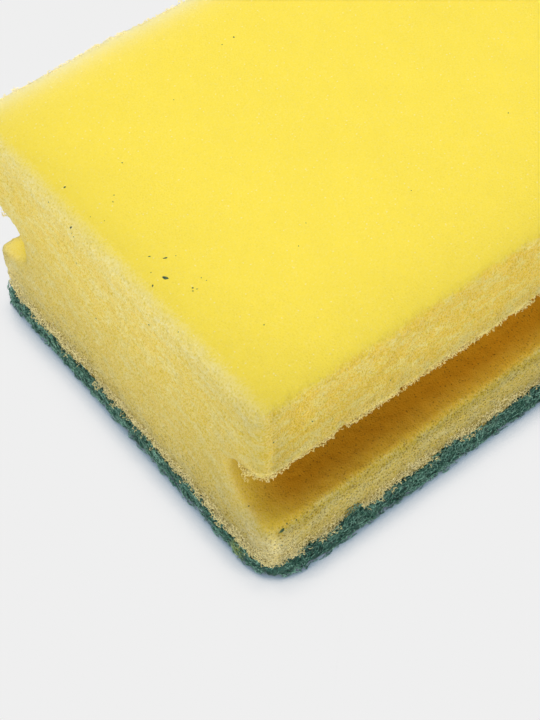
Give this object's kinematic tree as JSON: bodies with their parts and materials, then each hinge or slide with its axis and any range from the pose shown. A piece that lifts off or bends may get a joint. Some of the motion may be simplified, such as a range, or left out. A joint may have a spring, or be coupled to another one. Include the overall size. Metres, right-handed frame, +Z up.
{
  "type": "cleaning sponge",
  "caption": "Block of open-cell foam with a finger groove along each long side, laminated to a non-woven scouring pad under its whole base.",
  "frame": {"origin": "middle of the scouring pad's flat underside", "axes": "+X along the length and the finger grooves, +Y across the width, +Z up from the scouring pad to the foam's top face"},
  "size_m": [0.1008, 0.0708, 0.0425],
  "materials": {
    "foam": "matte open-cell foam, paler where the cells are cut",
    "scouring_fibre": "matte bonded fibres with a slight resin gloss"
  },
  "bodies": {
    "root": {"foam_block": "foam", "scouring_pad": "scouring_fibre"}
  },
  "joints": []
}
